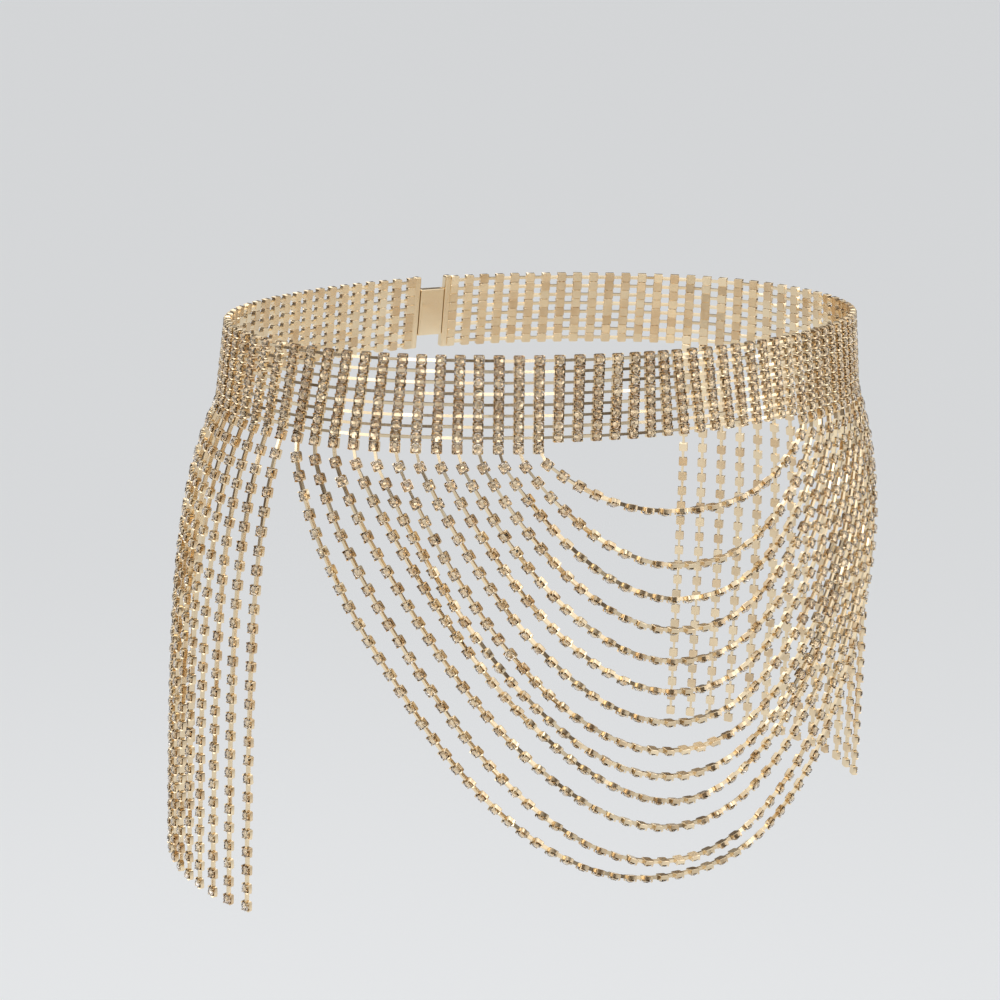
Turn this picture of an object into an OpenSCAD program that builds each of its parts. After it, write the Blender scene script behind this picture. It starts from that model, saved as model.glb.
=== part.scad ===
// Waist chain: a closed band of stacked stone chains, with thirteen nested swags across
// the front and a fringe of hanging strands on each hip. The front is at -Y, the wearer's
// left is at +X, and the origin is the centre of the waist at the band's mid-height.

/* [Band] */
// Stone columns round the whole waist
columns = 100; // [84:2:140]
// Spacing of the stone columns along the band
column_pitch = 7.1; // [5.5:0.1:9]
// Chain rows stacked in the band
rows = 8; // [3:1:12]
// Spacing of the chain rows
row_pitch = 3.85; // [3:0.05:5]
// Thickness of the joined metal behind the rows
backing = 1.6; // [0.8:0.1:2.4]
// Height of each row's stones and cups above the backing
row_relief = 1.4; // [0.6:0.1:2]
// Width of the groove between two rows
row_groove = 0.5; // [0.2:0.05:1]
// Outward lean of the band towards the hips, in degrees
band_lean = 5.8; // [0:0.2:15]

/* [Waist] */
// Share of the girth that lies on the flat front and back arcs
front_share = 0.61; // [0.45:0.01:0.75]
// Angle that half of the front arc turns through, in degrees
front_turn = 34.8; // [25:0.2:45]

/* [Hips] */
// How far the strands stand out beyond the band at the front
front_flare = 9.5; // [0:0.5:20]
// How far the strands stand out beyond the band at the hips
hip_flare = 19; // [0:0.5:35]
// Depth below the band over which the strands reach most of their flare
flare_depth = 39; // [20:1:80]

/* [Swags] */
// Nested swags across the front, as many rows of the swag table as this
swags = 13; // [1:1:13]
// Bare columns between the two ends of the inmost swag
bare_columns = 16; // [6:2:20]
// Straight drop of each swag below the band before it curves
swag_drop = 4.8; // [1:0.1:10]
// Depth of the thirteenth swag below the band
swag_depth = 168; // [130:1:220]

/* [Fringe] */
// Hanging strands on each hip
fringe_strands = 13; // [1:1:16]
// Length of the hanging strands
fringe_length = 183; // [60:1:260]

/* [Strands] */
// Width of a strand over its stone cups
strand_width = 3.4; // [2.4:0.1:4]
// Gap between the band's lower edge and the top of each strand
strand_gap = 0.2; // [0.1:0.05:0.5]

/* [Clasp] */
// Opening between the two end bars at the middle of the back
clasp_opening = 12; // [6:0.5:20]
// Width of each end bar along the band
end_bar_width = 3; // [2:0.1:6]
// Height by which the end bars stand out beyond the stone rows
end_bar_lip = 0.4; // [0.2:0.05:1]
// Height of the clasp
clasp_height = 20; // [10:0.5:24]
// Thickness of the clasp's cover over the end bars
clasp_cover = 1.2; // [0.8:0.1:2.5]
// Gap kept between the clasp and the end bars
clasp_gap = 0.25; // [0.1:0.05:0.5]

/* [Hidden] */
$fn = 360;
gold = "#d8b985";
pale_gold = "#e2c89a";
strand_sides = 8;
ring_spacing = 3 * strand_width;
route_steps = 96;
// Height over which each ridge of the band slopes from its groove to its face
ridge_taper = 0.35;
// Length by which the side arcs run into the front and back arcs, and how much fuller
// they are there, so that the arcs join as one solid
side_lap = 1;
side_swell = 0.05;

// The swags from the inmost to the outmost: each one's share of the named depth, and the
// roundness of its curve, where 2 is a parabola and more is fuller
SHARE = 0;
ROUNDNESS = 1;
swag_table = [
    [0.165, 2.4],
    [0.285, 2.2],
    [0.36, 2.15],
    [0.43, 2.1],
    [0.5, 2.1],
    [0.57, 2.05],
    [0.64, 2.05],
    [0.705, 2.1],
    [0.765, 2],
    [0.825, 1.85],
    [0.885, 1.95],
    [0.965, 2.05],
    [1, 2.25]
];

function swag_name(i) = str("swag_", i < 10 ? "0" : "", i);
function fringe_name(side, i) = str("fringe_", side > 0 ? "left_" : "right_", i < 10 ? "0" : "", i);

band_height = rows * row_pitch;
band_thickness = backing + row_relief;
half_girth = columns * column_pitch / 2;
front_length = front_share * half_girth / 2;
front_radius = front_length / (front_turn * PI / 180);
side_radius = (half_girth / 2 - front_length) / ((90 - front_turn) * PI / 180);
front_centre = (front_radius - side_radius) * cos(front_turn);
side_centre = (front_radius - side_radius) * sin(front_turn);
strand_top = -band_height / 2 - strand_gap;
strand_offset = band_thickness / 2;

// Angle of the outward normal from the front, at arc length q from the front's middle
function turn_at(q) =
    q < front_length ? q / front_radius * 180 / PI
    : q < half_girth - front_length
        ? front_turn + (q - front_length) / side_radius * 180 / PI
        : 180 - (half_girth - q) / front_radius * 180 / PI;

// Centre and radius of the waist arc whose normal has this angle
function arc_at(turn) =
    turn < front_turn ? [0, front_centre, front_radius]
    : turn < 180 - front_turn ? [side_centre, 0, side_radius]
        : [0, -front_centre, front_radius];

// Outward normal of the waist at a signed arc length s, positive towards +X
function normal_at(s) = let (turn = turn_at(abs(s))) [sign(s) * sin(turn), -cos(turn), 0];

// How far a surface at height z leans or flares beyond the waist
function lean_at(z) = -z * tan(band_lean);
function flare_at(turn, z) =
    let (
        hip = turn < 90 ? pow(sin(turn), 2) : 1,
        reach = front_flare * (1 - hip) + hip_flare * hip,
        below = max(-band_height / 2 - z, 0)
    )
    lean_at(max(z, -band_height / 2)) + reach * (1 - exp(-below / flare_depth));

// Point on the middle of the strands, at arc length s and height z
function strand_point(s, z) =
    let (
        turn = turn_at(abs(s)),
        arc = arc_at(turn),
        out = arc[2] + strand_offset + flare_at(turn, z)
    )
    [sign(s) * (arc[0] + out * sin(turn)), arc[1] - out * cos(turn), z];

// Swag i hangs from the same column on both sides, and u runs along it from -1 to 1
function swag_reach(i) = (bare_columns / 2 + i - 0.5) * column_pitch;
function swag_place(i, u) =
    let (
        row = swag_table[i - 1],
        sag = row[SHARE] * swag_depth - swag_drop,
        fall = 1 - pow(abs(u), row[ROUNDNESS])
    )
    [u * swag_reach(i), -band_height / 2 - swag_drop - sag * fall];
function swag_route(i) = concat(
    [[-swag_reach(i), strand_top]],
    [for (k = [0 : route_steps]) swag_place(i, 2 * k / route_steps - 1)],
    [[swag_reach(i), strand_top]]
);

// Fringe strand i hangs straight down from its own column
function fringe_reach(i) = (bare_columns / 2 + swags + i - 0.5) * column_pitch;
function fringe_route(side, i) =
    let (s = side * fringe_reach(i))
    [for (k = [0 : route_steps]) [s, strand_top - fringe_length * k / route_steps]];

// Running length along a list of points
function running(points, k = 0, sum = 0) =
    k >= len(points) ? []
    : let (total = k == 0 ? 0 : sum + norm(points[k] - points[k - 1]))
        concat([total], running(points, k + 1, total));

// A route spaced evenly, as [s, z] pairs a ring's spacing apart
function even_route(route) =
    let (
        points = [for (p = route) strand_point(p[0], p[1])],
        lengths = running(points),
        total = lengths[len(lengths) - 1],
        rings = max(2, round(total / ring_spacing)),
        s_table = [for (k = [0 : len(route) - 1]) [lengths[k], route[k][0]]],
        z_table = [for (k = [0 : len(route) - 1]) [lengths[k], route[k][1]]]
    )
    [for (k = [0 : rings]) [lookup(total * k / rings, s_table), lookup(total * k / rings, z_table)]];

function unit(v) = v / norm(v);

// The points of one ring, square to the strand and flat where it meets the band
function ring(centre, normal, along) =
    let (
        across = unit(normal - (normal * along) * along),
        beside = cross(along, across)
    )
    [for (k = [0 : strand_sides - 1])
        let (a = (k + 0.5) * 360 / strand_sides)
        centre + strand_width / 2 * (cos(a) * beside + sin(a) * across)];

// Closed tube of eight sides along a route; an end on the band is cut level
module strand(route, level_end) {
    places = even_route(route);
    centres = [for (p = places) strand_point(p[0], p[1])];
    last = len(centres) - 1;
    rings = [for (k = [0 : last])
        let (
            along = k == 0 ? [0, 0, -1]
                : k == last ? (level_end ? [0, 0, 1] : unit(centres[k] - centres[k - 1]))
                : unit(centres[k + 1] - centres[k - 1])
        )
        each ring(centres[k], normal_at(places[k][0]), along)];
    sides = [for (k = [0 : last - 1], j = [0 : strand_sides - 1])
        let (a = k * strand_sides, b = (j + 1) % strand_sides)
        [a + j, a + b, a + strand_sides + b, a + strand_sides + j]];
    start = [for (j = [strand_sides - 1 : -1 : 0]) j];
    end = [for (j = [0 : strand_sides - 1]) last * strand_sides + j];
    polyhedron(points = rings, faces = concat([start], sides, [end]));
}

// Section of the band at radius r: a leaning backing with one ridge for each row,
// and every face moved out by swell
module band_section(r, swell = 0) {
    low = -band_height / 2;
    back_face = backing + swell;
    front_face = band_thickness + swell;
    ridges = [for (row = [0 : rows - 1])
        let (
            z0 = low + row * row_pitch + row_groove / 2,
            z1 = low + (row + 1) * row_pitch - row_groove / 2
        )
        each [
            [r + lean_at(z0) + back_face, z0],
            [r + lean_at(z0) + front_face, z0 + ridge_taper],
            [r + lean_at(z1) + front_face, z1 - ridge_taper],
            [r + lean_at(z1) + back_face, z1]
        ]];
    polygon(concat(
        [[r + lean_at(low) - swell, low - swell], [r + lean_at(low) + back_face, low - swell]],
        ridges,
        [[r + lean_at(-low) + back_face, swell - low], [r + lean_at(-low) - swell, swell - low]]
    ));
}

// Plain leaning section between two offsets from radius r
module plain_section(r, inner, outer, height) {
    h = height / 2;
    polygon([
        [r + lean_at(-h) + inner, -h], [r + lean_at(-h) + outer, -h],
        [r + lean_at(h) + outer, h], [r + lean_at(h) + inner, h]
    ]);
}

// Sweeps its section about the arc centre, from one normal angle to another
module sweep(centre_x, centre_y, from, to) {
    translate([centre_x, centre_y, 0])
        rotate([0, 0, from - 90])
            rotate_extrude(angle = to - from)
                children();
}

// Angle at the middle of the back that a length along the back arc takes up
function back_turn(length) = length / front_radius * 180 / PI;

module band() {
    end_turn = 180 - back_turn(clasp_opening / 2);
    bar_turn = 180 - back_turn(clasp_opening / 2 + end_bar_width);
    row_end = (bar_turn + end_turn) / 2;
    lap_turn = side_lap / side_radius * 180 / PI;
    color(gold) {
        sweep(0, front_centre, -front_turn, front_turn) band_section(front_radius);
        for (side = [0, 1])
            mirror([side, 0, 0]) {
                sweep(side_centre, 0, front_turn - lap_turn, 180 - front_turn + lap_turn)
                    band_section(side_radius, side_swell);
                sweep(0, -front_centre, 180 - front_turn, row_end) band_section(front_radius);
                sweep(0, -front_centre, bar_turn, end_turn)
                    plain_section(front_radius, -side_swell, band_thickness + end_bar_lip,
                        band_height + end_bar_lip);
            }
    }
}

module clasp() {
    gap_turn = back_turn(clasp_opening / 2 - clasp_gap);
    cover_turn = back_turn(clasp_opening / 2 + end_bar_width);
    cover_inner = band_thickness + end_bar_lip + clasp_gap;
    color(pale_gold) {
        sweep(0, -front_centre, 180 - gap_turn, 180 + gap_turn)
            plain_section(front_radius, 0, cover_inner + clasp_cover / 2, clasp_height);
        sweep(0, -front_centre, 180 - cover_turn, 180 + cover_turn)
            plain_section(front_radius, cover_inner, cover_inner + clasp_cover, clasp_height);
    }
}

module swag(i) {
    color(gold) strand(swag_route(i), true);
}

module fringe(side, i) {
    color(gold) strand(fringe_route(side, i), false);
}

band();
clasp();
for (i = [1 : swags])
    swag(i);
for (side = [1, -1], i = [1 : fringe_strands])
    fringe(side, i);
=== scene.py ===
"""Waist chain: a band of eight joined rows of stone-set cup chain, nested swags across the
front and a fringe of hanging strands on each hip, in a plain studio.

Lengths are in metres. The front is at -Y, the wearer's left is at +X, and the origin is the
centre of the waist at the band's mid-height."""

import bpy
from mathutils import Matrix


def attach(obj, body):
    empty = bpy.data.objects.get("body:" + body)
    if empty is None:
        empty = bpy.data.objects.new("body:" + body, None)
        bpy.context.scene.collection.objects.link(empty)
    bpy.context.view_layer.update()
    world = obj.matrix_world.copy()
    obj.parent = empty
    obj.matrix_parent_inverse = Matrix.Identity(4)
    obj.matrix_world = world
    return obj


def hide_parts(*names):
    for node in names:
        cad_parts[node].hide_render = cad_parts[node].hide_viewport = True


bl_info = {
    "name": "Waist Chain",
    "version": (1, 0, 0),
    "blender": (4, 5, 0),
    "location": "View3D > Sidebar > Waist Chain",
    "description": "Builds a waist chain of stone cups, with swags, a fringe and a studio",
    "category": "Add Mesh",
}

import bpy
import numpy as np
from mathutils import Matrix, Vector

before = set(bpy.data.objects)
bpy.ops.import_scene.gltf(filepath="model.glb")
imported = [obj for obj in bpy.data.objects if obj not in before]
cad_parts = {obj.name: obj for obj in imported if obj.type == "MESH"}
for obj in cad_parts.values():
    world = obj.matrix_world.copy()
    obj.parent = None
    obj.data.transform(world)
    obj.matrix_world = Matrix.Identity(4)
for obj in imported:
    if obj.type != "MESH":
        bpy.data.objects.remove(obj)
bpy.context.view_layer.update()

# The model's one body, and the two finishes that its record names
BODY = "root"
GOLD_SLOT = "gold"
STONE_SLOT = "stones"
SWAG_NODES = sorted(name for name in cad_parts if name.startswith("swag_"))
LEFT_NODES = sorted(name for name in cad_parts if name.startswith("fringe_left_"))
RIGHT_NODES = sorted(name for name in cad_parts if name.startswith("fringe_right_"))
MM = 0.001
UP = np.array([0.0, 0.0, 1.0])

# Each swag from the inmost to the outmost: its share of the named swag depth, and the
# roundness of its curve, where 2 is a parabola and more is fuller
SWAG_TABLE = (
    (0.165, 2.4),
    (0.285, 2.2),
    (0.36, 2.15),
    (0.43, 2.1),
    (0.5, 2.1),
    (0.57, 2.05),
    (0.64, 2.05),
    (0.705, 2.1),
    (0.765, 2.0),
    (0.825, 1.85),
    (0.885, 1.95),
    (0.965, 2.05),
    (1.0, 2.25),
)

# How the band's columns lean as it is worn: places along the band, as shares of half its girth
# from the middle of the front, and by how many degrees a column's foot lies further towards
# growing s than its top
COLUMN_LEANS = (
    (-1.0, 0.0),
    (-0.7, -2.0),
    (-0.41, -6.3),
    (-0.36, -6.2),
    (-0.3, -3.2),
    (-0.23, 0.0),
    (-0.18, 0.0),
    (-0.11, -2.6),
    (-0.075, -2.8),
    (-0.005, 6.6),
    (0.08, 7.3),
    (0.13, 6.4),
    (0.36, 4.0),
    (0.7, 1.2),
    (1.0, 0.0),
)

# The rings of a cup from its base edge up the wall, over the rim and down inside. Each row is
# the width and height of the wall between the claws, then of the claw: widths are shares of
# the cup's half width, and heights are shares of the cup's height above its base
CUP_RINGS = (
    (0.92, 0.0, 0.92, 0.0),
    (1.0, 0.07, 1.0, 0.07),
    (1.0, 0.60, 1.0, 0.84),
    (0.95, 0.60, 0.66, 1.0),
    (0.94, 0.52, 0.80, 0.80),
    (0.62, 0.20, 0.62, 0.20),
)
# Directions of a cup's corners and claws in each quarter turn, in degrees, and how far out
# they lie as shares of the cup's half width
CUP_CORNERS = (35.0, 45.0, 55.0)
CORNER_REACH = (1.2208, 1.31, 1.2208)
# Sides of a stone's flat top, and where the ring below it lies, as a share of the way out from
# the top's edge to the stone's widest part
STONE_SIDES = 8
MIDDLE_RING = 0.62
# How level a swag's strand is, as the cosine of its slope, where its stones start to roll over
# on the wearer's right, and where they would be right over, which is just out of reach
RIGHT_ROLL_SPAN = (0.25, 1.05)
# How fast they roll over on the wearer's left, as a power of the same cosine
LEFT_EASE = 8.0
# How far a strand twists one way and the other along its length, in radians
STRAND_SWAY = 0.10
# How unevenly cups are set by hand, in the band and in a strand: how far they roll about the
# chain, in radians, and how far they tip, as slopes. Then how far a stone tips in its cup
BAND_ROLL, BAND_TIP = 0.03, 0.03
STRAND_ROLL, STRAND_TIP = 0.07, 0.04
STONE_TIP = 0.05
# Seeds of that unevenness: the band's, the first swag's, and the first hanging strand's on the
# wearer's left and right
BAND_SEED = 11
SWAG_SEED = 100
LEFT_SEED, RIGHT_SEED = 350, 250
# How much the links are twisted by chance, and how far the band's links lean back
LINK_TILT = np.radians(6.0)
LINK_LEAN = np.radians(6.0)
# The deepest tone that a link has, where a cup has up to 1, and the tone of a plain piece
LINK_TONE = 0.3
PLAIN_TONE = 0.5
# Where the solder between two rows starts inside a cup, as a share of the cup's width
SOLDER_REACH = 0.44
# Points along the route of a swag and of a hanging strand
SWAG_STEPS = 401
FRINGE_STEPS = 201
# A rounded bar's points round its section, and its rings along each rounded end and between
BAR_POINTS = 32
BAR_END_RINGS = 5
BAR_RINGS = 25
# How far the edges of the end bars and of the clasp are rounded
END_BAR_ROUNDING = 0.7 * MM
CLASP_ROUNDING = 0.5 * MM
# The large soft lights: name, place, width and power in watts
SOFTBOXES = (
    ("key_light", (-1.3, -1.2, 1.3), 2.0, 11.0),
    ("fill_light", (1.5, -1.1, 0.5), 1.4, 5.0),
    ("back_light", (0.3, 1.6, 1.2), 1.2, 4.0),
)
# The small lights that make the stones sparkle: their width, their power and where they stand
GLINT_WIDTH = 0.24
GLINT_POWER = 0.38
GLINT_PLACES = (
    (-1.5, -0.5, 0.25),
    (-0.9, -1.2, 0.55),
    (-0.2, -1.5, 0.2),
    (0.5, -1.4, 0.6),
    (1.3, -0.8, 0.15),
    (-1.4, 0.4, 0.5),
)
# The point that every light looks at
LIGHT_AIM = (0.0, 0.0, -0.08)
# Width of the camera's sensor, in millimetres
SENSOR_WIDTH = 36.0
# Edges of a cup and of a bar that turn by less than these angles are smooth
CUP_SMOOTHING = np.radians(40.0)
BAR_SMOOTHING = np.radians(50.0)


def length(name, default, description):
    """A length property, shown in the scene's unit."""
    return bpy.props.FloatProperty(
        name=name, default=default, description=description, unit="LENGTH",
        subtype="DISTANCE", precision=5)


def angle(name, degrees, description):
    """An angle property whose default is given in degrees."""
    return bpy.props.FloatProperty(
        name=name, default=np.radians(degrees), description=description, unit="ROTATION",
        subtype="ANGLE")


def share(name, default, description):
    """A plain number property."""
    return bpy.props.FloatProperty(name=name, default=default, description=description,
                                   precision=3)


def colour(name, default, description):
    """A colour property, as linear red, green and blue."""
    return bpy.props.FloatVectorProperty(
        name=name, default=default, description=description, subtype="COLOR", size=3,
        min=0.0, max=1.0)


class WaistSizes(bpy.types.PropertyGroup):
    """Sizes of the band and of the waist that it closes round."""
    columns: bpy.props.IntProperty(
        name="Columns", default=100, description="Stone columns round the whole waist")
    column_pitch: length("Column Pitch", 0.0071, "Spacing of the columns along the band")
    rows: bpy.props.IntProperty(name="Rows", default=8, description="Rows in the band")
    row_pitch: length("Row Pitch", 0.00385, "Spacing of the rows")
    thickness: length("Thickness", 0.003, "Thickness of the band over its stones")
    lean: angle("Lean", 5.8, "Outward lean of the band towards the hips")
    front_share: share("Front Share", 0.61, "Share of the girth on the front and back arcs")
    front_turn: angle("Front Turn", 34.8, "Angle that half of the front arc turns through")
    front_flare: length("Front Flare", 0.0095, "How far the strands stand out at the front")
    hip_flare: length("Hip Flare", 0.019, "How far the strands stand out at the hips")
    flare_depth: length("Flare Depth", 0.039, "Depth over which most of the flare is reached")
    clasp_opening: length("Clasp Opening", 0.012, "Opening between the two end bars")
    end_bar_width: length("End Bar Width", 0.003, "Width of each end bar")
    end_bar_lip: length("End Bar Lip", 0.0004, "How far the end bars stand out")
    clasp_height: length("Clasp Height", 0.020, "Height of the clasp")
    clasp_cover: length("Clasp Cover", 0.0012, "Thickness of the clasp's cover")
    clasp_gap: length("Clasp Gap", 0.00025, "Gap between the clasp and the end bars")


class StrandSizes(bpy.types.PropertyGroup):
    """Sizes of the swags and the hanging strands."""
    bare_columns: bpy.props.IntProperty(
        name="Bare Columns", default=16, description="Columns inside the inmost swag")
    swag_drop: length("Swag Drop", 0.0048, "Straight drop of each swag before it curves")
    swag_depth: length("Swag Depth", 0.168, "Depth of the outmost swag below the band")
    fringe_length: length("Fringe Length", 0.183, "Length of the hanging strands")
    top_gap: length("Top Gap", 0.0002, "Gap between the band and the top of each strand")
    turn_over: length("Turn Over", 0.045, "Length over which a swag starts to roll over")
    roll: angle("Roll", 88.0, "Angle that a swag's stones have rolled through at its foot")
    turn_in: angle("Turn In", 35.0, "Angle that they roll inwards where a swag's left is steep")


class CupSizes(bpy.types.PropertyGroup):
    """Sizes of one stone cup, its stone and its links."""
    cup_width: length("Cup Width", 0.00384, "Width of a cup")
    cup_base: length("Cup Base", 0.0015, "Depth of a cup's base below the chain's middle")
    cup_height: length("Cup Height", 0.0026, "Height of a cup's claws above its base")
    stone_width: length("Stone Width", 0.0036, "Width of a stone")
    table_width: length("Table Width", 0.0018, "Width of a stone's flat top")
    table_height: length("Table Height", 0.0012, "Height of a stone's top above the middle")
    girdle_height: length("Girdle Height", 0.00045, "Height of a stone's widest part")
    stone_depth: length("Stone Depth", 0.0014, "Depth of a stone below its widest part")
    link_width: length("Link Width", 0.0010, "Width of a link")
    link_thickness: length("Link Thickness", 0.0014, "Thickness of a link")
    link_depth: length("Link Depth", 0.0006, "Depth of the links below the chain's middle")


class Finish(bpy.types.PropertyGroup):
    """Colours of the metal, the stones and the studio."""
    gold: colour("Gold", (0.92, 0.755, 0.515), "Polished pale gold plate")
    deep_gold: colour("Deep Gold", (0.66, 0.46, 0.265), "The warmer gold of some cups")
    glass: colour("Glass", (1.0, 0.98, 0.965), "The clearest stones")
    champagne: colour("Champagne", (0.95, 0.90, 0.85), "The most tinted stones")
    foil: colour("Foil", (0.93, 0.91, 0.885), "The palest foil behind the stones")
    deep_foil: colour("Deep Foil", (0.80, 0.73, 0.66), "The deepest foil")
    floor: colour("Floor", (0.88, 0.89, 0.90), "Pale paper floor")
    wall: colour("Wall", (0.11, 0.09, 0.075), "Lower part of the studio's walls")
    high_wall: colour("High Wall", (0.30, 0.29, 0.28), "Upper part of the studio's walls")
    ceiling: colour("Ceiling", (0.88, 0.89, 0.90), "The studio's bright ceiling")
    backdrop: colour("Backdrop", (0.70, 0.715, 0.74), "Pale paper behind the object")
    room_light: share("Room Light", 1.05, "Brightness of the walls and the ceiling")


class Studio(bpy.types.PropertyGroup):
    """Where the camera, the lights and the floor stand."""
    camera_turn: angle("Camera Turn", -34.21, "Direction of the camera from the front")
    camera_distance: length("Camera Distance", 0.8786, "Distance from the waist's axis")
    camera_height: length("Camera Height", 0.1594, "Height above the band's middle")
    camera_yaw: angle("Camera Yaw", 1.16, "Turn of the view away from the waist's axis")
    camera_pitch: angle("Camera Pitch", 14.17, "Downward tilt of the view")
    camera_roll: angle("Camera Roll", 1.80, "Roll of the view")
    lens: bpy.props.FloatProperty(name="Lens", default=81.43, unit="CAMERA",
                                  description="Focal length on a sensor 36 mm wide")
    floor_height: length("Floor Height", -1.0, "Height of the floor")
    floor_size: length("Floor Size", 120.0, "Width of the floor")


class WaistChainSettings(bpy.types.PropertyGroup):
    """All the sizes and colours."""
    waist: bpy.props.PointerProperty(type=WaistSizes)
    strand: bpy.props.PointerProperty(type=StrandSizes)
    cup: bpy.props.PointerProperty(type=CupSizes)
    finish: bpy.props.PointerProperty(type=Finish)
    studio: bpy.props.PointerProperty(type=Studio)


def settings():
    """The scene's sizes and colours."""
    return bpy.context.scene.waist_chain


def unit(vectors):
    """Each vector divided by its length."""
    return vectors / np.linalg.norm(vectors, axis=-1, keepdims=True)


def eased(values, start, end):
    """A smooth rise from 0 at start to 1 at end: three times the square of the share of the
    way, less twice its cube."""
    way = np.clip((values - start) / (end - start), 0.0, 1.0)
    return way * way * (3 - 2 * way)


class Waist:
    """The oval that the band follows, four arcs that run into each other without a corner,
    and the surface that leans and flares down from it. A place on it is an arc length s from
    the middle of the front, positive towards +X, and a height z."""

    def __init__(self, sizes):
        self.sizes = sizes
        self.half_height = sizes.rows * sizes.row_pitch / 2
        self.half_girth = sizes.columns * sizes.column_pitch / 2
        self.front_length = sizes.front_share * self.half_girth / 2
        self.front_radius = self.front_length / sizes.front_turn
        side_length = self.half_girth / 2 - self.front_length
        self.side_radius = side_length / (np.pi / 2 - sizes.front_turn)
        apart = self.front_radius - self.side_radius
        self.front_centre = apart * np.cos(sizes.front_turn)
        self.side_centre = apart * np.sin(sizes.front_turn)

    def turn(self, s):
        """Angle of the outward normal from the front: the arc length run since the arc
        began, divided by that arc's radius, added to the angle where it began."""
        run = np.abs(s)
        on_side = self.sizes.front_turn + (run - self.front_length) / self.side_radius
        on_back = np.pi - (self.half_girth - run) / self.front_radius
        turn = np.where(run < self.half_girth - self.front_length, on_side, on_back)
        return np.sign(s) * np.where(run < self.front_length, run / self.front_radius, turn)

    def flare(self, turn, z):
        """How far the surface stands out beyond the oval, and its slope. The band leans
        evenly; below it the flare nears its full reach as one minus e to the minus depth."""
        sizes = self.sizes
        hip = np.where(np.abs(turn) < np.pi / 2, np.sin(turn) ** 2, 1.0)
        reach = sizes.front_flare * (1 - hip) + sizes.hip_flare * hip
        below = np.maximum(-self.half_height - z, 0.0)
        left = np.exp(-below / sizes.flare_depth)
        lean = np.tan(sizes.lean)
        out = -np.maximum(z, -self.half_height) * lean + reach * (1 - left)
        slope = np.where(below > 0, -reach / sizes.flare_depth * left, -lean)
        return out, slope

    def place(self, s, z, out=0.0):
        """Points at arc lengths s and heights z, a distance out from the surface, with the
        surface's outward normals and its level directions towards growing s."""
        s, z = np.broadcast_arrays(np.asarray(s, float), np.asarray(z, float))
        turn = self.turn(s)
        flare, slope = self.flare(turn, z)
        outward = np.stack([np.sin(turn), -np.cos(turn), np.zeros_like(turn)], -1)
        level = np.stack([np.cos(turn), np.sin(turn), np.zeros_like(turn)], -1)
        run = np.abs(s)
        front = run < self.front_length
        back = run >= self.half_girth - self.front_length
        radius = np.where(front | back, self.front_radius, self.side_radius)
        centre_x = np.where(front | back, 0.0, np.sign(s) * self.side_centre)
        centre_y = np.where(front, self.front_centre, np.where(back, -self.front_centre, 0.0))
        centre = np.stack([centre_x, centre_y, z], -1)
        points = centre + (radius + out + flare)[..., None] * outward
        return points, unit(outward - slope[..., None] * UP), level


class Frames:
    """Where copies of a shape stand: a middle, and directions along the chain, across it and
    out of it, one row of each for each copy."""

    def __init__(self, middle, along, out):
        self.middle = middle
        self.along = unit(along)
        self.out = unit(out - np.sum(out * self.along, -1, keepdims=True) * self.along)
        self.across = np.cross(self.out, self.along)

    def __len__(self):
        return len(self.middle)

    def rolled(self, angles):
        """These frames turned about the chain, from out towards the left of along."""
        cos, sin = np.cos(angles)[:, None], np.sin(angles)[:, None]
        return Frames(self.middle, self.along, self.out * cos - self.across * sin)

    def spun(self, angles):
        """These frames turned about their outward directions."""
        cos, sin = np.cos(angles)[:, None], np.sin(angles)[:, None]
        return Frames(self.middle, self.along * cos + self.across * sin, self.out)

    def tipped(self, tips):
        """These frames tipped by small slopes along and across, and left square."""
        out = self.out + self.along * tips[:, :1] + self.across * tips[:, 1:2]
        return Frames(self.middle, self.along - out * tips[:, :1], out)

    def part(self, picked):
        """Some of these frames."""
        return Frames(self.middle[picked], self.along[picked], self.out[picked])

    def place(self, points):
        """Each point of a shape, carried into every frame: the middle plus the point's three
        coordinates times the frame's three directions."""
        axes = np.stack([self.along, self.across, self.out], 1)
        return self.middle[:, None] + np.einsum("pk,nkj->npj", points, axes)


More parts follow.
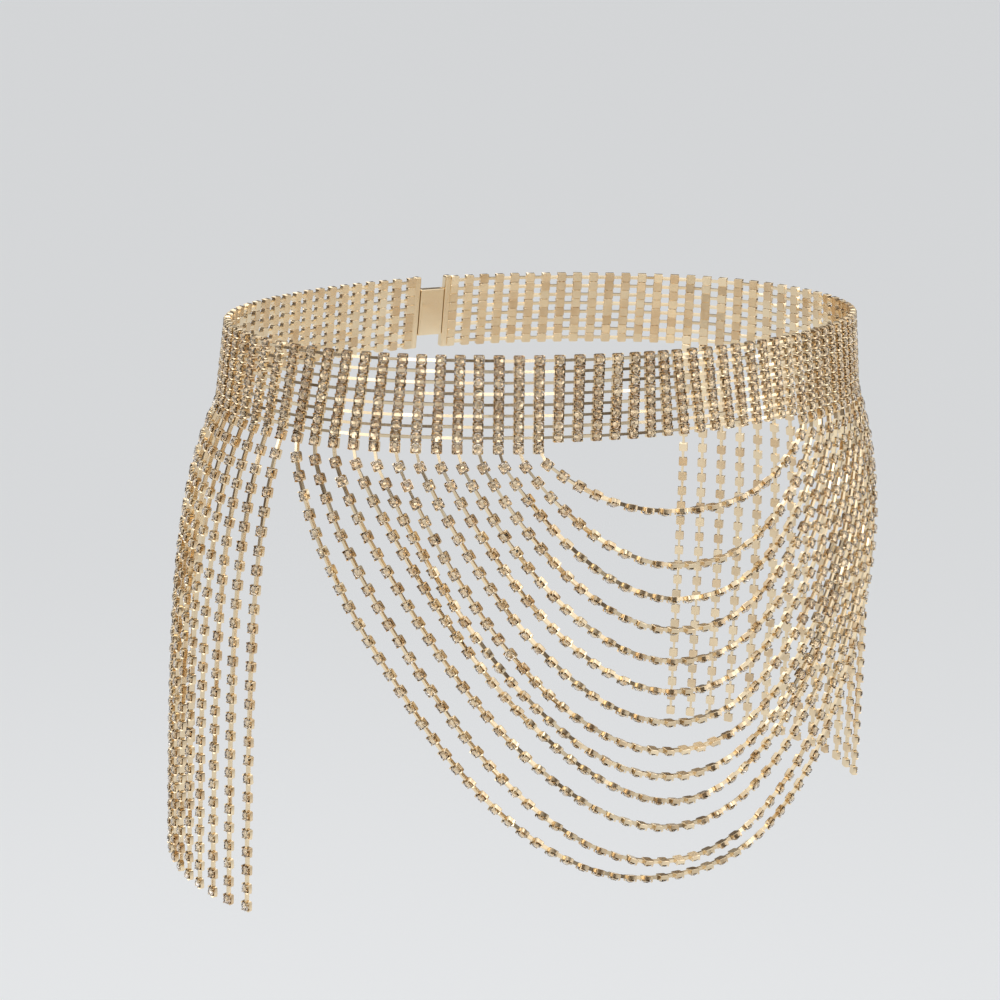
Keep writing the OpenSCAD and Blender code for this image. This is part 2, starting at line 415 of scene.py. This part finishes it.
class Surface:
    """Points and faces gathered as whole arrays, to become one mesh."""

    def __init__(self):
        self.points, self.tones = [], []
        self.faces, self.kinds = [], []
        self.total = 0

    def add(self, points, faces, tones, kinds=None):
        """Adds copies of a shape. Points are copies by points by 3, faces are arrays of point
        numbers in one copy, with one kind of material each, and each copy has its tone."""
        copies, count = points.shape[:2]
        first = self.total + count * np.arange(copies)
        for group, kind in zip(faces, kinds or [0] * len(faces)):
            self.faces.append((first[:, None, None] + group).reshape(-1, group.shape[1]))
            self.kinds.append(np.full(len(self.faces[-1]), kind))
        self.points.append(points.reshape(-1, 3))
        self.tones.append(np.repeat(tones, count))
        self.total += copies * count

    def make(self, name, materials, smooth_angle=None):
        """The gathered faces as a mesh object at the origin."""
        mesh = bpy.data.meshes.new(name)
        sizes = np.concatenate([np.full(len(f), f.shape[1]) for f in self.faces])
        corners = np.concatenate([f.ravel() for f in self.faces])
        mesh.vertices.add(self.total)
        mesh.vertices.foreach_set("co", np.concatenate(self.points).ravel())
        mesh.loops.add(len(corners))
        mesh.loops.foreach_set("vertex_index", corners)
        mesh.polygons.add(len(sizes))
        mesh.polygons.foreach_set("loop_start", np.cumsum(sizes) - sizes)
        mesh.polygons.foreach_set("loop_total", sizes)
        mesh.polygons.foreach_set("material_index", np.concatenate(self.kinds))
        mesh.polygons.foreach_set("use_smooth", np.full(len(sizes), smooth_angle is not None))
        tone = mesh.attributes.new("tone", "FLOAT", "POINT")
        tone.data.foreach_set("value", np.concatenate(self.tones))
        mesh.update(calc_edges=True)
        if mesh.validate():
            raise RuntimeError(f"{name} has faces that aren't sound")
        if smooth_angle is not None:
            mesh.set_sharp_from_angle(angle=smooth_angle)
        for material in materials:
            mesh.materials.append(material)
        piece = bpy.data.objects.new(name, mesh)
        bpy.context.scene.collection.objects.link(piece)
        return piece


def band_faces(rings, count, first=0):
    """Quads between neighbouring rings of a closed tube, each ring with count points."""
    ring, side = np.meshgrid(np.arange(rings - 1), np.arange(count), indexing="ij")
    here = first + ring * count + side
    beside = first + ring * count + (side + 1) % count
    return np.stack([here, beside, beside + count, here + count], -1).reshape(-1, 4)


def cup_shape(cup):
    """One cup: rings of corners and claws joined by quads. A point lies at its corner's
    direction, as far out as half the width times the corner's reach times the ring's share,
    and as high as the base plus the ring's share of the cup's height."""
    rings = np.array(CUP_RINGS)
    quarter = np.radians(np.array(CUP_CORNERS))
    turns = (np.arange(4)[:, None] * np.pi / 2 + quarter).ravel()
    reach = np.tile(CORNER_REACH, 4)
    claw = np.tile([False, True, False], 4)
    width = np.where(claw, rings[:, 2:3], rings[:, 0:1]) * reach * cup.cup_width / 2
    height = np.where(claw, rings[:, 3:4], rings[:, 1:2]) * cup.cup_height - cup.cup_base
    points = np.stack([width * np.cos(turns), width * np.sin(turns), height], -1)
    count = len(turns)
    last = (len(rings) - 1) * count
    ends = np.stack([np.arange(count)[::-1], last + np.arange(count)])
    return points.reshape(-1, 3), [band_faces(len(rings), count), ends]


def stone_shape(cup):
    """One round cut stone: a table of eight sides, eight star facets, eight flat kites and
    sixteen facets to the widest part, the girdle, and below it a cone of eight flat facets.
    Each ring's points stand at even angles round the stone. The middle ring lies in the plane
    of each kite, and every other point of the girdle is raised into the plane of its cone
    facet. Returns the points, the faces and the kind of each group of faces, 0 for glass and
    1 for foil."""
    sides = STONE_SIDES
    half_side = np.pi / sides
    table_turns = 2 * half_side * np.arange(sides)
    girdle_turns = half_side * np.arange(2 * sides)
    wide, table = cup.stone_width / 2, cup.table_width / 2
    middle = MIDDLE_RING * wide + (1 - MIDDLE_RING) * table
    fall = (middle * np.cos(half_side) - table) / (wide - table)
    middle_height = cup.table_height + (cup.girdle_height - cup.table_height) * fall
    raised = np.tile([0.0, cup.stone_depth * (1 / np.cos(half_side) - 1)], sides)

    def ring(radius, turns, height):
        return np.stack([radius * np.cos(turns), radius * np.sin(turns),
                         np.full(len(turns), height)], -1)

    points = np.concatenate([
        ring(table, table_turns, cup.table_height),
        ring(middle, table_turns + half_side, middle_height),
        ring(wide, girdle_turns, cup.girdle_height + raised),
        [[0.0, 0.0, cup.girdle_height - cup.stone_depth]],
    ])
    top = np.arange(sides)
    after = (top + 1) % sides
    mid = sides + top
    mid_before = sides + (top - 1) % sides
    rim = 2 * sides + 2 * top
    rim_next = rim + 1
    rim_after = 2 * sides + (2 * top + 2) % (2 * sides)
    point = np.full(sides, 4 * sides)
    stars = np.stack([top, mid, after], -1)
    kites = np.stack([top, mid_before, rim, mid], -1)
    halves = np.concatenate([
        np.stack([mid, rim, rim_next], -1),
        np.stack([mid, rim_next, rim_after], -1),
    ])
    cone = np.stack([point, rim_after, rim_next, rim], -1)
    return points, [top[None], stars, kites, halves, cone], [0, 0, 0, 0, 1]


BOX_FACES = [np.array([[0, 1, 2, 3], [7, 6, 5, 4], [0, 4, 5, 1], [1, 5, 6, 2],
                       [2, 6, 7, 3], [3, 7, 4, 0]])]


def bars_between(one, other, width, thickness, reach, depth, across=False):
    """Flat bars that join pairs of frames. Each starts inside one cup, a reach from its
    middle towards the other, lies a depth behind the middle, and ends the same way in the
    other cup. Its corners lie half its width to either side and half its thickness out and
    in. With across, the pairs lie side by side and not along the chain."""
    def end(frames, sign):
        way = frames.across if across else frames.along
        beside = frames.along if across else frames.across
        start = frames.middle + sign * reach * way - depth * frames.out
        up, left = frames.out * thickness / 2, beside * width / 2
        return np.stack([start - left - up, start - left + up, start + left + up,
                         start + left - up], 1)

    ends = [end(one, 1.0), end(other, -1.0)]
    return np.concatenate(ends[::-1] if across else ends, 1)


class Chain:
    """Cups, stones and links of one run of chain, in its frames. The draws come from one
    seeded source, so each run gives the same chain."""

    def __init__(self, seed, cup):
        self.draws = np.random.default_rng(seed)
        self.cup = cup
        self.metal, self.stones = Surface(), Surface()

    def settle(self, frames, roll, tip):
        """The frames with the small unevenness of hand-set cups: normal draws that spread by
        roll and by tip."""
        rolls = self.draws.normal(0.0, roll, len(frames))
        tips = self.draws.normal(0.0, tip, (len(frames), 2))
        return frames.rolled(rolls).tipped(tips)

    def add_cups(self, frames):
        """A cup in each frame, with a stone turned its own way in it."""
        tones = self.draws.random(len(frames))
        points, faces = cup_shape(self.cup)
        self.metal.add(frames.place(points), faces, tones)
        points, faces, kinds = stone_shape(self.cup)
        spins = self.draws.random(len(frames)) * 2 * np.pi / STONE_SIDES
        tips = self.draws.normal(0.0, STONE_TIP, (len(frames), 2))
        seats = frames.spun(spins).tipped(tips)
        self.stones.add(seats.place(points), faces, tones, kinds)

    def add_bars(self, one, other, across=False, lean=0.0):
        """Links, or the solder between rows, from each frame of one to its match. Links are
        twisted about the chain, by a lean and by chance."""
        cup = self.cup
        if not across:
            tilts = self.draws.normal(-lean, LINK_TILT, len(one))
            one, other = one.rolled(tilts), other.rolled(tilts)
        reach = SOLDER_REACH * cup.cup_width if across else 0.0
        bars = bars_between(one, other, cup.link_width, cup.link_thickness, reach,
                            cup.link_depth, across)
        self.metal.add(bars, BOX_FACES, LINK_TONE * self.draws.random(len(bars)))

    def make(self, name, node, metal, stone):
        """The run's two pieces, which stand for a node."""
        cups = self.metal.make(f"{name}_cups", [metal], CUP_SMOOTHING)
        stones = self.stones.make(f"{name}_stones", stone)
        for piece, slot in ((cups, GOLD_SLOT), (stones, STONE_SLOT)):
            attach(piece, BODY)
            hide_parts(node)


def band_columns(waist):
    """Arc lengths of the columns, without those that the end bars and the clasp displace."""
    sizes = waist.sizes
    s = (np.arange(sizes.columns) + 0.5 - sizes.columns / 2) * sizes.column_pitch
    end = waist.half_girth - sizes.clasp_opening / 2 - sizes.end_bar_width
    return s[np.abs(s) < end]


def leaning(waist, s, z):
    """Arc lengths s of the band's cups at heights z once its columns lean: less the height
    above the lowest row times the tangent of the lean there, which runs straight from one
    place of the table to the next."""
    places, leans = np.array(COLUMN_LEANS).T
    lean = np.interp(s / waist.half_girth, places, np.radians(leans))
    foot = waist.sizes.row_pitch / 2 - waist.half_height
    return s - np.tan(lean) * (z - foot)


def strand_frames(waist, cup, strand, s, z, both_ends):
    """Frames of the cups along a route of arc lengths s and heights z, and of the band's cups
    that its ends hang from. The cups are spaced evenly, as near the column pitch as fits, and
    each points from a third of a pitch before it to a third of a pitch after it. They roll
    over from the surface's normal towards the outside of the curve as it levels out."""
    sizes = waist.sizes
    middle = sizes.thickness / 2
    points = waist.place(s, z, middle)[0]
    steps = np.linalg.norm(np.diff(points, axis=0), axis=1)
    run = np.concatenate([[0.0], np.cumsum(steps)])
    first = sizes.row_pitch / 2 - strand.top_gap
    last = run[-1] - (first if both_ends else cup.cup_width / 2)
    if both_ends:
        count = int(round((last - first) / sizes.column_pitch)) + 1
        stations = np.linspace(first, last, count)
    else:
        count = int((last - first) / sizes.column_pitch) + 1
        stations = first + sizes.column_pitch * np.arange(count)
    reach = sizes.column_pitch / 3

    def at(distance):
        return waist.place(np.interp(distance, run, s), np.interp(distance, run, z), middle)

    centre, normal, level = at(stations)
    before = at(np.maximum(stations - reach, 0.0))[0]
    after = at(np.minimum(stations + reach, run[-1]))[0]
    frames = Frames(centre, after - before, normal)
    from_end = np.minimum(stations, run[-1] - stations) if both_ends else stations
    levelled = np.abs(np.sum(frames.along * level, -1))
    on_right = strand.roll * eased(levelled, *RIGHT_ROLL_SPAN)
    on_left = strand.roll * levelled ** LEFT_EASE - strand.turn_in * (1 - levelled ** 2)
    rolls = np.where(np.interp(stations, run, s) > 0, on_left, on_right)
    rolls = rolls * eased(from_end, 0.0, strand.turn_over)
    rolls = rolls if both_ends else np.zeros(count)
    ends = [0, -1] if both_ends else [0]
    top_s = np.array([s[k] for k in ends])
    top, normal, level = waist.place(top_s, sizes.row_pitch / 2 - waist.half_height, middle)
    down = np.array([1.0, -1.0])[:len(ends), None] * np.cross(level, normal)
    return frames.rolled(rolls), Frames(top, down, normal)


def add_strand(waist, name, seed, s, z, both_ends, metal, stone):
    """One swag or hanging strand, from the band's lowest row and back to it or down. It
    twists slowly along its length, by the sum of a sine of one wave and one of one and a half
    waves."""
    own = settings()
    chain = Chain(seed, own.cup)
    frames, tops = strand_frames(waist, own.cup, own.strand, s, z, both_ends)
    sway = STRAND_SWAY * chain.draws.standard_normal(2)
    wave = np.linspace(0.0, 1.0, len(frames))
    slow = sway[0] * np.sin(2 * np.pi * wave) + sway[1] * np.sin(3 * np.pi * wave)
    frames = chain.settle(frames.rolled(slow), STRAND_ROLL, STRAND_TIP)
    chain.add_cups(frames)
    order = np.arange(len(frames) - 1)
    chain.add_bars(frames.part(order), frames.part(order + 1))
    chain.add_bars(tops.part([0]), frames.part([0]))
    if both_ends:
        chain.add_bars(frames.part([-1]), tops.part([1]))
    chain.make(name, name, metal, stone)


def swag_route(waist, strand, number):
    """Route of one swag, as arc lengths and heights: a straight drop at each end, and between
    them a curve that falls as one minus the distance from its middle to its roundness."""
    depth_share, roundness = SWAG_TABLE[number]
    reach = (strand.bare_columns / 2 + number + 0.5) * waist.sizes.column_pitch
    u = np.linspace(-1.0, 1.0, SWAG_STEPS)
    top = -waist.half_height - strand.top_gap
    start = -waist.half_height - strand.swag_drop
    fall = depth_share * strand.swag_depth - strand.swag_drop
    s = np.concatenate([[-reach], u * reach, [reach]])
    z = np.concatenate([[top], start - fall * (1 - np.abs(u) ** roundness), [top]])
    return s, z


def fringe_route(waist, strand, side, number):
    """Route of one hanging strand: straight down from its own column."""
    column = strand.bare_columns / 2 + len(SWAG_NODES) + number + 0.5
    drop = np.linspace(0.0, strand.fringe_length, FRINGE_STEPS)
    z = -waist.half_height - strand.top_gap - drop
    return np.full(len(z), side * column * waist.sizes.column_pitch), z


def slab(waist, name, s_from, s_to, inner, outer, half_height, rounding, metal):
    """A bar with rounded edges that follows the back of the band. Its section is a rounded
    rectangle from inner to outer and from one height to the other, carried along the arc, and
    the last rings at each end draw in by a quarter circle."""
    count = BAR_POINTS
    turns = np.linspace(0.0, 2 * np.pi, count, endpoint=False) + np.pi / count
    cos, sin = np.cos(turns), np.sin(turns)
    thick = (outer - inner) / 2
    edge = np.linspace(0.0, np.pi / 2, BAR_END_RINGS)
    draw = rounding * (1 - np.sin(edge))
    step = rounding * (1 - np.cos(edge))
    body = np.linspace(s_from + rounding, s_to - rounding, BAR_RINGS)
    s = np.concatenate([s_from + step, body[1:-1], (s_to - step)[::-1]])
    inset = np.concatenate([draw, np.zeros(len(body) - 2), draw[::-1]])
    out = np.sign(cos) * (thick - rounding) + rounding * cos
    high = np.sign(sin) * (half_height - rounding) + rounding * sin
    out = out[None] * (1 - inset[:, None] / thick) + (inner + outer) / 2
    high = high[None] * (1 - inset[:, None] / half_height)
    s = np.where(s > waist.half_girth, s - 2 * waist.half_girth, s)
    points = waist.place(np.repeat(s[:, None], count, 1), high, out)[0]
    surface = Surface()
    rings = len(s)
    ends = np.stack([np.arange(count), (rings - 1) * count + np.arange(count)[::-1]])
    faces = [band_faces(rings, count)[:, ::-1], ends]
    surface.add(points.reshape(1, -1, 3), faces, np.array([PLAIN_TONE]))
    return surface.make(name, [metal], BAR_SMOOTHING)


def output_socket(group, name, kind):
    """A named output of a shader group."""
    group.interface.new_socket(name=name, in_out="OUTPUT", socket_type=kind)


def input_socket(group, name, default):
    """A named number input of a shader group."""
    socket = group.interface.new_socket(name=name, in_out="INPUT",
                                        socket_type="NodeSocketFloat")
    socket.default_value = default


def plating_group():
    """The unevenness of thin plating: a fine grain and broad soft blotches in object space,
    put out as a mask of blotches, a roughness and a height. The roughness rises from low to
    high with half the grain plus half the blotches."""
    group = bpy.data.node_groups.new("plating", "ShaderNodeTree")
    input_socket(group, "Grain Scale", 2200.0)
    input_socket(group, "Blotch Scale", 90.0)
    input_socket(group, "Low Roughness", 0.09)
    input_socket(group, "High Roughness", 0.24)
    output_socket(group, "Blotches", "NodeSocketFloat")
    output_socket(group, "Roughness", "NodeSocketFloat")
    output_socket(group, "Height", "NodeSocketFloat")
    nodes, links = group.nodes, group.links
    inputs = nodes.new("NodeGroupInput")
    outputs = nodes.new("NodeGroupOutput")
    place = nodes.new("ShaderNodeTexCoord")
    grain = nodes.new("ShaderNodeTexNoise")
    grain.inputs["Detail"].default_value = 3.0
    blotch = nodes.new("ShaderNodeTexNoise")
    blotch.inputs["Detail"].default_value = 2.0
    rough = nodes.new("ShaderNodeMapRange")
    both = nodes.new("ShaderNodeMath")
    both.operation = "MULTIPLY_ADD"
    both.inputs[1].default_value = 0.5
    half_grain = nodes.new("ShaderNodeMath")
    half_grain.operation = "MULTIPLY"
    half_grain.inputs[1].default_value = 0.5
    links.new(place.outputs["Object"], grain.inputs["Vector"])
    links.new(place.outputs["Object"], blotch.inputs["Vector"])
    links.new(inputs.outputs["Grain Scale"], grain.inputs["Scale"])
    links.new(inputs.outputs["Blotch Scale"], blotch.inputs["Scale"])
    links.new(grain.outputs["Fac"], half_grain.inputs[0])
    links.new(blotch.outputs["Fac"], both.inputs[0])
    links.new(half_grain.outputs[0], both.inputs[2])
    links.new(both.outputs[0], rough.inputs["Value"])
    links.new(inputs.outputs["Low Roughness"], rough.inputs["To Min"])
    links.new(inputs.outputs["High Roughness"], rough.inputs["To Max"])
    rough.inputs["From Min"].default_value = 0.35
    rough.inputs["From Max"].default_value = 0.65
    links.new(blotch.outputs["Fac"], outputs.inputs["Blotches"])
    links.new(rough.outputs["Result"], outputs.inputs["Roughness"])
    links.new(grain.outputs["Fac"], outputs.inputs["Height"])
    return group


def new_material(name):
    """An empty node material and its Principled shader."""
    material = bpy.data.materials.new(name)
    material.use_nodes = True
    return material, material.node_tree.nodes["Principled BSDF"]


def gold_plate(name, group, grain, tone_strength):
    """Polished pale gold plate. Each cup has its own tone between the two golds: its share
    of the deep gold rises with the tone times the blotches. The plating group also gives the
    roughness and a faint grain."""
    finish = settings().finish
    material, shader = new_material(name)
    nodes, links = material.node_tree.nodes, material.node_tree.links
    plating = nodes.new("ShaderNodeGroup")
    plating.node_tree = group
    plating.inputs["Grain Scale"].default_value = grain
    tone = nodes.new("ShaderNodeAttribute")
    tone.attribute_name = "tone"
    blotched = nodes.new("ShaderNodeMath")
    blotched.operation = "MULTIPLY"
    strength = nodes.new("ShaderNodeMapRange")
    strength.inputs["From Min"].default_value = 0.1
    strength.inputs["From Max"].default_value = 0.6
    strength.inputs["To Max"].default_value = tone_strength
    colours = nodes.new("ShaderNodeMix")
    colours.data_type = "RGBA"
    colours.inputs["A"].default_value = (*finish.gold, 1.0)
    colours.inputs["B"].default_value = (*finish.deep_gold, 1.0)
    bump = nodes.new("ShaderNodeBump")
    bump.inputs["Strength"].default_value = 0.08
    bump.inputs["Distance"].default_value = 0.02 * MM
    links.new(tone.outputs["Fac"], blotched.inputs[0])
    links.new(plating.outputs["Blotches"], blotched.inputs[1])
    links.new(blotched.outputs[0], strength.inputs["Value"])
    links.new(strength.outputs["Result"], colours.inputs["Factor"])
    links.new(colours.outputs["Result"], shader.inputs["Base Color"])
    links.new(plating.outputs["Roughness"], shader.inputs["Roughness"])
    links.new(plating.outputs["Height"], bump.inputs["Height"])
    links.new(bump.outputs["Normal"], shader.inputs["Normal"])
    shader.inputs["Metallic"].default_value = 1.0
    return material


def toned_colour(material, shader, pale, deep):
    """Base colour that goes from pale to deep with each stone's own tone."""
    nodes, links = material.node_tree.nodes, material.node_tree.links
    tone = nodes.new("ShaderNodeAttribute")
    tone.attribute_name = "tone"
    colours = nodes.new("ShaderNodeMix")
    colours.data_type = "RGBA"
    colours.inputs["A"].default_value = (*pale, 1.0)
    colours.inputs["B"].default_value = (*deep, 1.0)
    links.new(tone.outputs["Fac"], colours.inputs["Factor"])
    links.new(colours.outputs["Result"], shader.inputs["Base Color"])


def cut_glass():
    """Clear cut glass, from white to a slight champagne."""
    finish = settings().finish
    material, shader = new_material("cut_glass")
    toned_colour(material, shader, finish.glass, finish.champagne)
    shader.inputs["Roughness"].default_value = 0.02
    shader.inputs["IOR"].default_value = 1.56
    shader.inputs["Transmission Weight"].default_value = 1.0
    return material


def stone_foil():
    """The mirror foil on the back of each stone."""
    finish = settings().finish
    material, shader = new_material("stone_foil")
    toned_colour(material, shader, finish.foil, finish.deep_foil)
    shader.inputs["Roughness"].default_value = 0.06
    shader.inputs["Metallic"].default_value = 1.0
    return material


def floor_paper():
    """Pale matt studio paper."""
    material, shader = new_material("floor_paper")
    shader.inputs["Base Color"].default_value = (*settings().finish.floor, 1.0)
    shader.inputs["Roughness"].default_value = 0.9
    return material


def kept(name, make):
    """The named material, made on its first use."""
    return bpy.data.materials.get(name) or make()


def chain_materials():
    """The metal of the cups, and the two finishes of the stones."""
    group = bpy.data.node_groups.get("plating") or plating_group()
    metal = kept("cup_gold", lambda: gold_plate("cup_gold", group, grain=2200.0,
                                                tone_strength=0.75))
    return metal, [kept("cut_glass", cut_glass), kept("stone_foil", stone_foil)]


def bar_material():
    """The metal of the end bars and the clasp."""
    group = bpy.data.node_groups.get("plating") or plating_group()
    return kept("bar_gold", lambda: gold_plate("bar_gold", group, grain=900.0,
                                               tone_strength=0.4))


class WAISTCHAIN_OT_band(bpy.types.Operator):
    """Rows of cups joined side by side, and the end bars at the back"""
    bl_idname = "waist_chain.band"
    bl_label = "Add Band"

    def execute(self, context):
        own = settings()
        waist = Waist(own.waist)
        metal, stone = chain_materials()
        s = band_columns(waist)
        z = (np.arange(own.waist.rows) + 0.5) * own.waist.row_pitch - waist.half_height
        grid_s, grid_z = np.meshgrid(s, z, indexing="ij")
        grid_s = leaning(waist, grid_s, grid_z)
        middle, normal, level = waist.place(grid_s.ravel(), grid_z.ravel(),
                                            own.waist.thickness / 2)
        chain = Chain(BAND_SEED, own.cup)
        frames = chain.settle(Frames(middle, level, normal), BAND_ROLL, BAND_TIP)
        chain.add_cups(frames)
        number = np.arange(len(frames)).reshape(len(s), len(z))
        chain.add_bars(frames.part(number[:-1].ravel()), frames.part(number[1:].ravel()),
                       lean=LINK_LEAN)
        chain.add_bars(frames.part(number[:, :-1].ravel()), frames.part(number[:, 1:].ravel()),
                       across=True)
        chain.make("band", "band", metal, stone)
        sizes = own.waist
        inner = waist.half_girth - sizes.clasp_opening / 2
        for side in (-1, 1):
            name = "end_bar_left" if side > 0 else "end_bar_right"
            near, far = sorted([side * inner, side * (inner - sizes.end_bar_width)])
            bar = slab(waist, name, near, far, 0.0, sizes.thickness + sizes.end_bar_lip,
                       waist.half_height + sizes.end_bar_lip / 2, END_BAR_ROUNDING,
                       bar_material())
            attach(bar, BODY)
            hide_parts("band")
        return {"FINISHED"}


class WAISTCHAIN_OT_clasp(bpy.types.Operator):
    """The plain closing piece that bridges the end bars"""
    bl_idname = "waist_chain.clasp"
    bl_label = "Add Clasp"

    def execute(self, context):
        own = settings()
        sizes = own.waist
        waist = Waist(sizes)
        half = sizes.clasp_opening / 2
        inner = sizes.thickness + sizes.end_bar_lip + sizes.clasp_gap
        reach = half + sizes.end_bar_width
        centre = waist.half_girth
        plates = [
            ("clasp_cover", reach, inner, inner + sizes.clasp_cover),
            ("clasp_tongue", half - sizes.clasp_gap, 0.0, inner + sizes.clasp_cover / 2),
        ]
        for name, wide, low, high in plates:
            plate = slab(waist, name, centre - wide, centre + wide, low, high,
                         sizes.clasp_height / 2, CLASP_ROUNDING, bar_material())
            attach(plate, BODY)
            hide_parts("clasp")
        return {"FINISHED"}


class WAISTCHAIN_OT_swags(bpy.types.Operator):
    """The nested swags across the front"""
    bl_idname = "waist_chain.swags"
    bl_label = "Add Swags"

    def execute(self, context):
        own = settings()
        waist = Waist(own.waist)
        metal, stone = chain_materials()
        for number, name in enumerate(SWAG_NODES):
            s, z = swag_route(waist, own.strand, number)
            add_strand(waist, name, SWAG_SEED + number, s, z, True, metal, stone)
        return {"FINISHED"}


class WAISTCHAIN_OT_fringe(bpy.types.Operator):
    """The hanging strands on both hips"""
    bl_idname = "waist_chain.fringe"
    bl_label = "Add Fringe"

    def execute(self, context):
        own = settings()
        waist = Waist(own.waist)
        metal, stone = chain_materials()
        for side, seed, names in ((1, LEFT_SEED, LEFT_NODES), (-1, RIGHT_SEED, RIGHT_NODES)):
            for number, name in enumerate(names):
                s, z = fringe_route(waist, own.strand, side, number)
                add_strand(waist, name, seed + number, s, z, False, metal, stone)
        return {"FINISHED"}


def add_camera(studio):
    """A camera on a circle round the waist's axis. It looks along its own radius, turned by
    the yaw, tilted down by the pitch and rolled."""
    turn = studio.camera_turn
    place = Vector((studio.camera_distance * np.sin(turn),
                    -studio.camera_distance * np.cos(turn), studio.camera_height))
    camera = bpy.data.objects.new("camera", bpy.data.cameras.new("camera"))
    bpy.context.scene.collection.objects.link(camera)
    heading = Matrix.Rotation(turn + studio.camera_yaw, 4, "Z")
    tilt = Matrix.Rotation(np.pi / 2 - studio.camera_pitch, 4, "X")
    roll = Matrix.Rotation(studio.camera_roll, 4, "Z")
    camera.matrix_world = Matrix.Translation(place) @ heading @ tilt @ roll
    camera.data.sensor_width = SENSOR_WIDTH
    camera.data.lens = studio.lens
    camera.data.clip_start, camera.data.clip_end = 0.01, 500.0
    bpy.context.scene.camera = camera


def add_softbox(name, place, width, power):
    """A square area light that looks at the middle of the object."""
    light = bpy.data.lights.new(name, "AREA")
    light.energy, light.size = power, width
    softbox = bpy.data.objects.new(name, light)
    bpy.context.scene.collection.objects.link(softbox)
    softbox.location = place
    heading = Vector(LIGHT_AIM) - Vector(place)
    softbox.rotation_euler = heading.to_track_quat("-Z", "Y").to_euler()


def add_surroundings(finish):
    """A plain studio room that the metal and the stones mirror: a wide bright ceiling, and
    walls that are darkest near the floor. Its colour follows how steeply a direction points
    up, from 0 for level to 1 for straight up. Where the camera looks straight at it, the room
    gives way to one pale backdrop colour."""
    world = bpy.data.worlds.new("studio")
    bpy.context.scene.world = world
    world.use_nodes = True
    nodes, links = world.node_tree.nodes, world.node_tree.links
    background = nodes["Background"]
    place = nodes.new("ShaderNodeTexCoord")
    split = nodes.new("ShaderNodeSeparateXYZ")
    ramp = nodes.new("ShaderNodeValToRGB")
    links.new(place.outputs["Generated"], split.inputs["Vector"])
    links.new(split.outputs["Z"], ramp.inputs["Fac"])
    seen = nodes.new("ShaderNodeLightPath")
    choose = nodes.new("ShaderNodeMix")
    choose.data_type = "RGBA"
    choose.inputs["B"].default_value = (*finish.backdrop, 1.0)
    links.new(seen.outputs["Is Camera Ray"], choose.inputs["Factor"])
    links.new(ramp.outputs["Color"], choose.inputs["A"])
    links.new(choose.outputs["Result"], background.inputs["Color"])
    levels = (
        (0.0, finish.wall),
        (0.16, finish.wall),
        (0.30, finish.high_wall),
        (0.44, finish.high_wall),
        (0.56, finish.ceiling),
    )
    elements = ramp.color_ramp.elements
    while len(elements) < len(levels):
        elements.new(0.5)
    for element, (where, level) in zip(elements, levels):
        element.position = where
        element.color = (*level, 1.0)
    background.inputs["Strength"].default_value = finish.room_light


class WAISTCHAIN_OT_stage(bpy.types.Operator):
    """The floor, the lights, the surroundings and the camera"""
    bl_idname = "waist_chain.stage"
    bl_label = "Add Stage"

    def execute(self, context):
        own = settings()
        half = own.studio.floor_size / 2
        corners = np.array([[-half, -half], [half, -half], [half, half], [-half, half]])
        points = np.column_stack([corners, np.full(4, own.studio.floor_height)])
        surface = Surface()
        surface.add(points[None], [np.array([[0, 1, 2, 3]])], np.array([PLAIN_TONE]))
        floor = surface.make("floor", [floor_paper()])
        add_camera(own.studio)
        for softbox in SOFTBOXES:
            add_softbox(*softbox)
        for number, place in enumerate(GLINT_PLACES):
            add_softbox(f"glint_light_{number}", place, GLINT_WIDTH, GLINT_POWER)
        add_surroundings(own.finish)
        context.scene.view_settings.view_transform = "Standard"
        return {"FINISHED"}


class WAISTCHAIN_PT_panel(bpy.types.Panel):
    """Lists the steps that build the waist chain"""
    bl_label = "Waist Chain"
    bl_idname = "WAISTCHAIN_PT_panel"
    bl_space_type = "VIEW_3D"
    bl_region_type = "UI"
    bl_category = "Waist Chain"

    def draw(self, context):
        for operator in OPERATORS:
            self.layout.operator(operator.bl_idname)


OPERATORS = (
    WAISTCHAIN_OT_stage,
    WAISTCHAIN_OT_band,
    WAISTCHAIN_OT_clasp,
    WAISTCHAIN_OT_swags,
    WAISTCHAIN_OT_fringe,
)
GROUPS = (WaistSizes, StrandSizes, CupSizes, Finish, Studio, WaistChainSettings)


def register():
    """Makes the settings, the operators and the panel known."""
    for group in GROUPS + OPERATORS + (WAISTCHAIN_PT_panel,):
        bpy.utils.register_class(group)
    bpy.types.Scene.waist_chain = bpy.props.PointerProperty(type=WaistChainSettings)


def unregister():
    """Takes them back."""
    del bpy.types.Scene.waist_chain
    for group in reversed(GROUPS + OPERATORS + (WAISTCHAIN_PT_panel,)):
        bpy.utils.unregister_class(group)


def main():
    """Builds everything."""
    register()
    bpy.ops.waist_chain.stage()
    bpy.ops.waist_chain.band()
    bpy.ops.waist_chain.clasp()
    bpy.ops.waist_chain.swags()
    bpy.ops.waist_chain.fringe()


if __name__ == "__main__":
    main()
